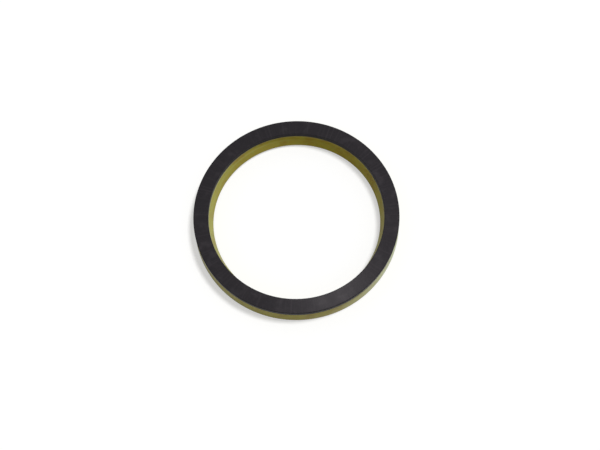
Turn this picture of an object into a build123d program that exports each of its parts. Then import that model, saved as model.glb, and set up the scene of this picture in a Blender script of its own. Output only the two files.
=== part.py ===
from build123d import *
import math
import os

# U-cup rod seal: a polyurethane U-cup with two flared lips, and a hard back-up ring
# bonded flat on its heel.  Millimetres, +Z up, Z = 0 at the lip tips, the seal's own
# axis on Z.  The lips and the groove between them point down, the back-up ring is on top.

# ---- the groove that the seal is made for -------------------------------------------
ROD_DIAMETER = 90.0            # shaft that the inner lip wipes
GROOVE_RADIAL_DEPTH = 7.5      # rod's surface to the floor of the housing groove

# ---- heights, measured along the axis -----------------------------------------------
BODY_HEIGHT = 8.7              # lip tips to heel face
RING_THICKNESS = 2.8           # back-up ring
HEEL_LAND = 1.2                # straight wall below the heel face, inside and outside

# ---- back-up ring -------------------------------------------------------------------
RING_ROD_CLEARANCE = 0.05      # radial gap left to the rod
RING_HOUSING_GRIP = 0.15       # radial oversize in the housing
RING_EDGE_BREAK = 0.3          # 45 degree break on the two top edges

# ---- heel of the U-cup --------------------------------------------------------------
HEEL_ROD_CLEARANCE = 0.15      # radial gap left to the rod
HEEL_HOUSING_CLEARANCE = 0.1   # radial gap left to the housing

# ---- lips ---------------------------------------------------------------------------
INNER_LIP_SQUEEZE = 1.6        # how far the relaxed inner lip reaches inside the rod's surface
OUTER_LIP_SQUEEZE = 0.6        # how far the relaxed outer lip reaches past the housing's wall
INNER_EDGE_SETBACK = 1.2       # height of the inner sealing edge above the lip tips
OUTER_EDGE_SETBACK = 0.9       # height of the outer sealing edge above the lip tips
INNER_BEVEL_WIDTH = 0.9        # radial width of the bevel below the inner sealing edge
OUTER_BEVEL_WIDTH = 0.7        # radial width of the bevel below the outer sealing edge
LIP_TIP_WIDTH = 0.8            # flat land at each lip's tip
LIP_TIP_BREAK = 0.25           # break on the tip's groove side
HEEL_KNEE_RADIUS = 4.0         # blend where the straight heel turns into a flared lip

# ---- U groove -----------------------------------------------------------------------
GROOVE_DEPTH = 6.1             # lip tips to the root of the U
GROOVE_ROOT_RADIUS = 1.4       # full round of the root

# ---- radii that follow from the sizes above -----------------------------------------
rod_radius = ROD_DIAMETER / 2
housing_radius = rod_radius + GROOVE_RADIAL_DEPTH
heel_inner = rod_radius + HEEL_ROD_CLEARANCE
heel_outer = housing_radius - HEEL_HOUSING_CLEARANCE
ring_inner = rod_radius + RING_ROD_CLEARANCE
ring_outer = housing_radius + RING_HOUSING_GRIP
lip_inner = rod_radius - INNER_LIP_SQUEEZE
lip_outer = housing_radius + OUTER_LIP_SQUEEZE
land_bottom = BODY_HEIGHT - HEEL_LAND


def u_section():
    """Half section of the U-cup: heel on top, two bevelled lips below, groove between."""
    inner_tip = lip_inner + INNER_BEVEL_WIDTH
    outer_tip = lip_outer - OUTER_BEVEL_WIDTH
    inner_knee = (heel_inner, land_bottom)
    outer_knee = (heel_outer, land_bottom)
    inner_mouth = (inner_tip + LIP_TIP_WIDTH, 0)
    outer_mouth = (outer_tip - LIP_TIP_WIDTH, 0)
    heel_middle = (heel_inner + heel_outer) / 2
    root_centre = (heel_middle, GROOVE_DEPTH - GROOVE_ROOT_RADIUS)
    inner_root = tangent_point(inner_mouth, root_centre, GROOVE_ROOT_RADIUS, turn=1)
    outer_root = tangent_point(outer_mouth, root_centre, GROOVE_ROOT_RADIUS, turn=-1)
    outside = Polyline(
        inner_root,
        inner_mouth,
        (inner_tip, 0),
        (lip_inner, INNER_EDGE_SETBACK),
        inner_knee,
        (heel_inner, BODY_HEIGHT),
        (heel_outer, BODY_HEIGHT),
        outer_knee,
        (lip_outer, OUTER_EDGE_SETBACK),
        (outer_tip, 0),
        outer_mouth,
        outer_root,
    )
    root = ThreePointArc(outer_root, (heel_middle, GROOVE_DEPTH), inner_root)
    section = make_face([outside, root])
    section = fillet(corners_at(section, inner_knee, outer_knee), HEEL_KNEE_RADIUS)
    return chamfer(corners_at(section, inner_mouth, outer_mouth), LIP_TIP_BREAK)


def ring_section():
    """Half section of the back-up ring: a flat bar with both top edges broken."""
    top = BODY_HEIGHT + RING_THICKNESS
    inner_edge = (ring_inner, top)
    outer_edge = (ring_outer, top)
    bar = Polyline(
        (ring_inner, BODY_HEIGHT),
        (ring_outer, BODY_HEIGHT),
        outer_edge,
        inner_edge,
        close=True,
    )
    section = make_face(bar)
    return chamfer(corners_at(section, inner_edge, outer_edge), RING_EDGE_BREAK)


def tangent_point(start, centre, radius, turn):
    """Where a straight wall from start touches the circle, on its left (turn 1) or right (-1)."""
    reach = Vector(*centre) - Vector(*start)
    lean = math.asin(radius / reach.length)
    heading = math.atan2(reach.Y, reach.X) + turn * lean
    run = reach.length * math.cos(lean)
    return (start[0] + run * math.cos(heading), start[1] + run * math.sin(heading))


def corners_at(section, *places):
    """The corners of a half section nearest to the given (r, z) places."""
    vertices = section.vertices()
    return [min(vertices, key=lambda v: (Vector(v) - Vector(*place)).length) for place in places]


def turned(section):
    """Stand a half section up in the XZ plane and turn it into a full ring about Z."""
    return revolve(Plane.XZ * section, axis=Axis.Z, revolution_arc=360)


u_cup_body = turned(u_section())
backup_ring = turned(ring_section())

os.makedirs("parts", exist_ok=True)
export_step(u_cup_body, "parts/u_cup_body.step")
export_step(backup_ring, "parts/backup_ring.step")
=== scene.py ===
# %% [markdown]
# # A U-cup rod seal with its back-up ring
#
# A rod seal keeps oil in a cylinder where the polished rod slides out of it. This one is
# made of two rings that are bonded together. The olive one is a U-cup: soft
# polyurethane, with two lips that spread under pressure, one on the rod and one on the
# floor of its groove. The black one is a back-up ring: hard plastic, flat on the heel of
# the cup, which stops the soft ring from creeping into the gap behind it.
#
# The shape is already made and is loaded here as a fixed frame, in metres, with Z up and
# the lips on Z = 0. So this lesson is about finish: what makes one ring look like cut,
# waxy rubber and the other like dull moulded plastic, and how to light them.

# %% Load the frame
import math

import bpy
from mathutils import Matrix, Vector


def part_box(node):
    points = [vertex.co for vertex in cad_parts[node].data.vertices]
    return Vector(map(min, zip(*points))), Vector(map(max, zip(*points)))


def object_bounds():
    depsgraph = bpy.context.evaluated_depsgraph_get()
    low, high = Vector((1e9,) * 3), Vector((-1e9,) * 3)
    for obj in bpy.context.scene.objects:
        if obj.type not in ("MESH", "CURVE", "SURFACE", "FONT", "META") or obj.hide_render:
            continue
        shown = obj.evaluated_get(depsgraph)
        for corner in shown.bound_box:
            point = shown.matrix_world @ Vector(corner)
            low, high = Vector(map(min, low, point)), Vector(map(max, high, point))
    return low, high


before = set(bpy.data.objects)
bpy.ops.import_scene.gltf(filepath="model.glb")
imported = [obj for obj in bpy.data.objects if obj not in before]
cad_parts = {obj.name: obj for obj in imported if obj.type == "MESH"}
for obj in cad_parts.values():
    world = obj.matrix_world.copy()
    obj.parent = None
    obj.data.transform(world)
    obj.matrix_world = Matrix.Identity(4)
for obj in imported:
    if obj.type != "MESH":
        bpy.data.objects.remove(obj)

MM = 0.001
DEGREE = math.pi / 180

cad_low, cad_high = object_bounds()
u_cup_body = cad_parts["u_cup_body"]
backup_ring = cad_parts["backup_ring"]
heel_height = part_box("u_cup_body")[1].z
seal_height = cad_high.z
outside_radius = cad_high.x
print(f"seal: {2000 * outside_radius:.1f} mm across, {1000 * seal_height:.1f} mm tall")
print(f"the back-up ring starts {1000 * heel_height:.1f} mm above the lips")

# %% [markdown]
# ## Small helpers for node materials
#
# A procedural material is a graph of nodes. Wiring one by hand takes three lines a node,
# so these helpers say the same in one: make a node, set its values, and link it.

# %% Node helpers
def new_material(name):
    material = bpy.data.materials.new(name)
    material.use_nodes = True
    shader = material.node_tree.nodes["Principled BSDF"]
    return material, material.node_tree, shader


def add_node(tree, kind, settings=None, **inputs):
    """One node: settings are its own options, inputs its sockets by name."""
    node = tree.nodes.new(kind)
    for option, value in (settings or {}).items():
        setattr(node, option, value)
    for socket, value in inputs.items():
        connect(tree, value, node.inputs[socket.replace("_", " ")])
    return node


def connect(tree, value, socket):
    """A socket is either linked to another node's output or given a plain value."""
    if isinstance(value, bpy.types.NodeSocket):
        tree.links.new(value, socket)
    else:
        socket.default_value = value


# %% [markdown]
# ## Noise that runs round the ring
#
# Both rings were turned or moulded about one axis, so their marks run round them. The
# plain way is to unroll the ring into an angle and a height, but an angle has a seam
# where it jumps from 360 degrees to 0. Stretching the space instead has no seam: the
# noise is squeezed along Z and drawn out along X and Y, so on a wall each feature turns
# into a long, thin streak that follows the ring. The place is the object's own, in
# metres, so 1000 features to a metre are about a millimetre apart, on every side alike.

# %% Stretched and even noise
def noise(tree, along, up, detail=3.0, seed=0.0):
    """Noise with `along` features a metre round the ring and `up` features a metre in height."""
    place = add_node(tree, "ShaderNodeTexCoord").outputs["Object"]
    stretch = add_node(
        tree,
        "ShaderNodeMapping",
        Vector=place,
        Location=(seed, 2 * seed, 3 * seed),
        Scale=(along, along, up),
    )
    return add_node(
        tree,
        "ShaderNodeTexNoise",
        Vector=stretch.outputs["Vector"],
        Scale=1.0,
        Detail=detail,
        Roughness=0.55,
    ).outputs["Fac"]


def even_noise(tree, scale, detail=3.0, seed=0.0):
    return noise(tree, scale, scale, detail, seed)


def spread(tree, value, low, high, to_low=0.0, to_high=1.0):
    """Stretches the part of a noise between low and high over a new range."""
    remap = add_node(
        tree,
        "ShaderNodeMapRange",
        {"interpolation_type": "SMOOTHSTEP"},
        Value=value,
    )
    remap.inputs["From Min"].default_value = low
    remap.inputs["From Max"].default_value = high
    remap.inputs["To Min"].default_value = to_low
    remap.inputs["To Max"].default_value = to_high
    return remap.outputs["Result"]


# %% [markdown]
# ## Marks that run across the ring
#
# Some marks run straight across the flat face, from the bore to the rim. A place divided
# by its own distance from the axis leaves only a direction, and a noise of the direction
# is the same all along a radius. It has no seam either.

# %% Spokes
def spokes(tree, count, detail=2.0):
    """Noise that stays the same along a radius, with about `count` features to a radian."""
    place = add_node(tree, "ShaderNodeTexCoord").outputs["Object"]
    flat = add_node(tree, "ShaderNodeVectorMath", {"operation": "MULTIPLY"})
    connect(tree, place, flat.inputs[0])
    flat.inputs[1].default_value = (1, 1, 0)
    direction = add_node(tree, "ShaderNodeVectorMath", {"operation": "NORMALIZE"})
    connect(tree, flat.outputs["Vector"], direction.inputs[0])
    return add_node(
        tree,
        "ShaderNodeTexNoise",
        Vector=direction.outputs["Vector"],
        Scale=count,
        Detail=detail,
    ).outputs["Fac"]


# %% Height and mixing
def height(tree):
    """How far a point lies above the paper, in metres."""
    place = add_node(tree, "ShaderNodeTexCoord").outputs["Object"]
    return add_node(tree, "ShaderNodeSeparateXYZ", Vector=place).outputs["Z"]


def mix_colours(tree, amount, first, second):
    mix = add_node(tree, "ShaderNodeMix", {"data_type": "RGBA"})
    connect(tree, amount, mix.inputs[0])
    connect(tree, first, mix.inputs[6])
    connect(tree, second, mix.inputs[7])
    return mix.outputs[2]


# %% [markdown]
# ## The polyurethane
#
# Sealing polyurethane starts pale yellow and darkens to olive as it ages and soaks up
# oil, and it never does so evenly. Three noises make that: large clouds of a browner
# tone, smaller flecks of a greener one, and faint pale streaks round the ring that the
# lathe or the mould left. The lowest millimetres, where the lips meet the paper, are
# darker: painted shade. Right under the hard ring runs a brown band of painted shade,
# along the joint between the two rings.

# %% Polyurethane colours
OLIVE = (0.340, 0.276, 0.019, 1)
BROWN_OLIVE = (0.295, 0.208, 0.010, 1)
GREEN_OLIVE = (0.300, 0.312, 0.038, 1)
STREAK = (0.380, 0.355, 0.085, 1)
# Painted shade: the lips are darker where they meet the paper.
LIP_SHADE_COLOUR = (0.200, 0.152, 0.011, 1)
LIP_SHADE_HEIGHT = 2.2 * MM
# Painted shade: a brown band along the joint, just under the hard ring.
JOINT_SHADE_COLOUR = (0.085, 0.055, 0.012, 1)
JOINT_SHADE_HEIGHT = 0.9 * MM

# Features to a metre: 130 of them are about 8 mm apart.
CLOUDS = 130
FLECKS = 420
STREAKS_ALONG = 14
STREAKS_UP = 900


# %% Polyurethane colour
def polyurethane_colour(tree):
    """Olive with clouds, flecks and streaks, and painted shade at the lips and under the hard ring.
    """
    clouds = spread(tree, even_noise(tree, CLOUDS, seed=3), 0.42, 0.66)
    flecks = spread(tree, even_noise(tree, FLECKS, seed=7), 0.50, 0.72, 0.0, 0.6)
    streaks = spread(tree, noise(tree, STREAKS_ALONG, STREAKS_UP, seed=11), 0.52, 0.72, 0.0, 0.55)
    # Painted shade: darker towards the lips, where they meet the paper.
    lip_shade = spread(tree, height(tree), 0.0, LIP_SHADE_HEIGHT, 0.75, 0.0)
    colour = mix_colours(tree, clouds, OLIVE, BROWN_OLIVE)
    colour = mix_colours(tree, flecks, colour, GREEN_OLIVE)
    colour = mix_colours(tree, streaks, colour, STREAK)
    colour = mix_colours(tree, lip_shade, colour, LIP_SHADE_COLOUR)
    # Painted shade: a brown band along the joint, just under the hard ring.
    joint_shade = spread(tree, height(tree), heel_height - JOINT_SHADE_HEIGHT, heel_height, 0.0, 0.85)
    return mix_colours(tree, joint_shade, colour, JOINT_SHADE_COLOUR)


# %% [markdown]
# ## A waxy surface
#
# Polyurethane is not glossy like paint: wax works its way to the surface and leaves a
# soft bloom, which shows where you look along the wall and light comes in low. A low
# specular level with sheen on top gives that. A little light also goes into the rubber
# and comes out beside where it went in, and subsurface scattering gives that softness.
# The fine marks of the tool run round the ring, and are bump.

# %% Polyurethane surface
WEAR_PATCHES = 260
TOOL_MARKS_ALONG = 18
TOOL_MARKS_UP = 2600
BLOOM_TINT = (0.88, 1.0, 0.92, 1)
GLOW_DEPTH = 1.2 * MM


def polyurethane():
    material, tree, shader = new_material("polyurethane")
    connect(tree, polyurethane_colour(tree), shader.inputs["Base Color"])
    wear = spread(tree, even_noise(tree, WEAR_PATCHES, seed=5), 0.35, 0.70, 0.40, 0.54)
    connect(tree, wear, shader.inputs["Roughness"])
    shader.inputs["Specular IOR Level"].default_value = 0.03
    shader.inputs["Sheen Weight"].default_value = 0.5
    shader.inputs["Sheen Roughness"].default_value = 0.4
    shader.inputs["Sheen Tint"].default_value = BLOOM_TINT
    shader.inputs["Subsurface Weight"].default_value = 0.10
    shader.inputs["Subsurface Radius"].default_value = (1.0, 0.8, 0.2)
    shader.inputs["Subsurface Scale"].default_value = GLOW_DEPTH
    tool_marks = noise(tree, TOOL_MARKS_ALONG, TOOL_MARKS_UP, detail=2.0, seed=17)
    bump = add_node(tree, "ShaderNodeBump", Height=tool_marks, Distance=0.02 * MM, Strength=0.6)
    connect(tree, bump.outputs["Normal"], shader.inputs["Normal"])
    return material


u_cup_body.material_slots[0].material = polyurethane()
print("dressed the U-cup in", u_cup_body.material_slots[0].material.name)

# %% [markdown]
# ## The back-up ring's plastic
#
# The hard ring is a filled plastic, charcoal and never pure black. It is dull, with a
# grain about as fine as paper, small pale specks of filler, a few paler scuffs where it
# has slid about in a drawer, and faint lines across the ring, which the filler draws as
# the plastic flows outward in its mould. Those are all the same paler grey, mixed in by
# three noises. The grain is bump, because it is far finer than any face of the mesh.

# %% Charcoal plastic
CHARCOAL = (0.0132, 0.0124, 0.0138, 1)
SCUFFED = (0.0240, 0.0222, 0.0242, 1)
SCUFFS = 190
SPECKS = 1900
FLOW_LINES_TO_A_RADIAN = 55


def charcoal_colour(tree):
    """Charcoal with paler scuffs, flow lines and specks."""
    scuffs = spread(tree, even_noise(tree, SCUFFS, detail=5.0, seed=23), 0.50, 0.78, 0.0, 0.7)
    flow_lines = spread(tree, spokes(tree, FLOW_LINES_TO_A_RADIAN), 0.50, 0.75, 0.0, 0.5)
    specks = spread(tree, even_noise(tree, SPECKS, seed=37), 0.50, 0.72, 0.0, 0.5)
    colour = mix_colours(tree, scuffs, CHARCOAL, SCUFFED)
    colour = mix_colours(tree, flow_lines, colour, SCUFFED)
    return mix_colours(tree, specks, colour, SCUFFED)


# %% Charcoal surface
GLEAM_PATCHES = 90
GRAIN = 2600


def charcoal_plastic():
    material, tree, shader = new_material("charcoal_plastic")
    connect(tree, charcoal_colour(tree), shader.inputs["Base Color"])
    gleam = spread(tree, even_noise(tree, GLEAM_PATCHES, seed=29), 0.35, 0.70, 0.25, 0.31)
    connect(tree, gleam, shader.inputs["Roughness"])
    shader.inputs["Specular IOR Level"].default_value = 0.015
    grain = even_noise(tree, GRAIN, detail=2.0, seed=31)
    bump = add_node(tree, "ShaderNodeBump", Height=grain, Distance=0.03 * MM, Strength=0.7)
    connect(tree, bump.outputs["Normal"], shader.inputs["Normal"])
    return material


backup_ring.material_slots[0].material = charcoal_plastic()
print("dressed the back-up ring in", backup_ring.material_slots[0].material.name)

# %% [markdown]
# ## The floor
#
# A product shot stands on white paper. The paper is a large flat sheet just under the
# lips. Real white paper throws so much light back up that the dark side of the walls
# would turn pale, so the light that it returns and the light that the camera sees are
# set apart with a Light Path node: the camera sees paper that is part glow and part lit
# surface, which keeps the shadow light, and the seal is lit by plain grey paper.

# %% Which rays see the background
def background_rays(tree):
    """1 for rays from the camera, or from a mirror or clear surface, and 0 for the rest."""
    path = add_node(tree, "ShaderNodeLightPath")
    seen = path.outputs["Is Camera Ray"]
    for kind in ("Is Glossy Ray", "Is Transmission Ray"):
        larger = add_node(tree, "ShaderNodeMath", {"operation": "MAXIMUM"})
        connect(tree, seen, larger.inputs[0])
        connect(tree, path.outputs[kind], larger.inputs[1])
        seen = larger.outputs[0]
    return seen


# %% White paper floor
FLOOR_SIZE = 4.0
FLOOR_DROP = 0.05 * MM
PAPER_LIT = 0.57
PAPER_GLOW = 0.46


def paper_material():
    material, tree, shader = new_material("white_paper")
    shader.inputs["Base Color"].default_value = (PAPER_LIT, PAPER_LIT, PAPER_LIT, 1)
    shader.inputs["Roughness"].default_value = 1.0
    shader.inputs["Specular IOR Level"].default_value = 0.0
    shader.inputs["Emission Color"].default_value = (1, 1, 1, 1)
    glow = add_node(tree, "ShaderNodeMath", {"operation": "MULTIPLY"})
    connect(tree, background_rays(tree), glow.inputs[0])
    glow.inputs[1].default_value = PAPER_GLOW
    connect(tree, glow.outputs[0], shader.inputs["Emission Strength"])
    return material


def paper_floor():
    mesh = bpy.data.meshes.new("floor")
    half = FLOOR_SIZE / 2
    corners = [(-half, -half), (half, -half), (half, half), (-half, half)]
    mesh.from_pydata([(x, y, -FLOOR_DROP) for x, y in corners], [], [(0, 1, 2, 3)])
    mesh.materials.append(paper_material())
    floor = bpy.data.objects.new("floor", mesh)
    bpy.context.scene.collection.objects.link(floor)
    return floor


floor = paper_floor()
print(f"the paper sends back {PAPER_LIT:.0%} of its light and adds {PAPER_GLOW:.0%} where it is seen")

# %% [markdown]
# ## Light
#
# Four things light the seal. The world is an even dome: it fills every side, so the back
# is as readable as the front. A soft sun, high on the right, draws the short shadow. A
# large cool soft box stands low and far off, behind the right side, and a small warm one
# hangs over the middle of the ring, facing its front. Each of those two lights one ring
# alone, by light linking, as a studio hand would flag a lamp with card: the walls turn
# from pale to deep olive round the ring, the black face gets its gleam, and the paper
# stays evenly white.

# %% World
def dome(fill):
    """The dome lights with `fill`, and looks white where it is seen."""
    world = bpy.data.worlds.new("white_dome")
    world.use_nodes = True
    tree = world.node_tree
    shine = tree.nodes["Background"]
    strength = add_node(tree, "ShaderNodeMix", {"data_type": "FLOAT"})
    connect(tree, background_rays(tree), strength.inputs[0])
    strength.inputs[2].default_value = fill
    strength.inputs[3].default_value = 1.0
    connect(tree, strength.outputs[0], shine.inputs["Strength"])
    shine.inputs["Color"].default_value = (1, 1, 1, 1)
    bpy.context.scene.world = world


DOME_FILL = 0.36
dome(DOME_FILL)

# %% A helper for lamps
def add_light(name, kind, place, aim, **values):
    """A lamp at `place` that shines towards `aim`. The values are the lamp's own settings."""
    lamp = bpy.data.lights.new(name, kind)
    for key, value in values.items():
        setattr(lamp, key, value)
    lamp_object = bpy.data.objects.new(name, lamp)
    lamp_object.location = place
    lamp_object.rotation_euler = (Vector(aim) - Vector(place)).to_track_quat("-Z", "Y").to_euler()
    bpy.context.scene.collection.objects.link(lamp_object)
    return lamp_object


# %% [markdown]
# The sun and the dome share the light that falls on the paper, and their shares add up
# to 1, so that a colour looks about as it is written. The sun's share says how dark the
# shadow is, and the angle it fills in the sky how soft. A sun lamp's energy counts for
# a surface that faces it, so it is divided by the sun's height to give its share on
# flat paper.

# %% Sun
SUN_ELEVATION = 71 * DEGREE
SUN_AZIMUTH = 20 * DEGREE
SUN_ANGLE = 12 * DEGREE
SUN_SHARE = 1 - DOME_FILL

sun_place = Vector((
    math.cos(SUN_AZIMUTH) * math.cos(SUN_ELEVATION),
    math.sin(SUN_AZIMUTH) * math.cos(SUN_ELEVATION),
    math.sin(SUN_ELEVATION),
))
sun = add_light(
    "sun", "SUN", sun_place, (0, 0, 0),
    energy=SUN_SHARE * math.pi / sun_place.z, angle=SUN_ANGLE,
)
shadow_length = seal_height / math.tan(SUN_ELEVATION)
print(f"the sun throws a shadow {1000 * shadow_length:.1f} mm long")

# %% Soft boxes
COOL = (0.62, 1.0, 1.3)
WARM = (1.0, 0.93, 0.97)
side_box = add_light(
    "side_box", "AREA", (0.80, 0.62, 0.38), (0, 0, 0.005),
    energy=4.2, shape="RECTANGLE", size=0.86, size_y=0.52, color=COOL,
)
front_box = add_light(
    "front_box", "AREA", (0.023, -0.002, 0.165), (0.017, -0.047, 0.0115),
    energy=0.28, shape="DISK", size=0.04, color=WARM,
)

# %% Each soft box lights one ring
def light_only(lamp, ring):
    """Light linking: the lamp shines on this ring alone. Everything still shades it."""
    receivers = bpy.data.collections.new(lamp.name + "_receivers")
    receivers.objects.link(ring)
    lamp.light_linking.receiver_collection = receivers
    print(lamp.name, "lights only", ring.name)


light_only(side_box, u_cup_body)
light_only(front_box, backup_ring)

# %% [markdown]
# ## Camera
#
# The seal is seen from well above, as it lies on a bench in front of you. The camera is
# placed by an elevation and a distance from a point on the paper, and then rolled a few
# degrees about its own line of sight, because it was held slightly askew.

# %% Camera
CAMERA_ELEVATION = 69.6 * DEGREE
CAMERA_AZIMUTH = 0.5 * DEGREE
CAMERA_ROLL = -3.5 * DEGREE
CAMERA_DISTANCE = 0.4966
CAMERA_LENS = 57.2
CAMERA_AIM = Vector((1.57 * MM, -2.05 * MM, 0))
NEAREST = 0.01
FARTHEST = 20.0


def place_camera():
    lens = bpy.data.cameras.new("camera")
    lens.lens = CAMERA_LENS
    lens.clip_start = NEAREST
    lens.clip_end = FARTHEST
    camera = bpy.data.objects.new("camera", lens)
    bpy.context.scene.collection.objects.link(camera)
    back = Vector((
        -math.sin(CAMERA_AZIMUTH) * math.cos(CAMERA_ELEVATION),
        -math.cos(CAMERA_AZIMUTH) * math.cos(CAMERA_ELEVATION),
        math.sin(CAMERA_ELEVATION),
    ))
    camera.location = CAMERA_AIM + CAMERA_DISTANCE * back
    look = (-back).to_track_quat("-Z", "Y").to_matrix()
    roll = Matrix.Rotation(CAMERA_ROLL, 3, "Z")
    camera.rotation_euler = (look @ roll).to_euler()
    bpy.context.scene.camera = camera
    return camera


camera = place_camera()
bpy.context.scene.view_settings.view_transform = "Standard"
print(f"camera: {1000 * camera.location.z:.0f} mm above the paper, lens {CAMERA_LENS} mm")
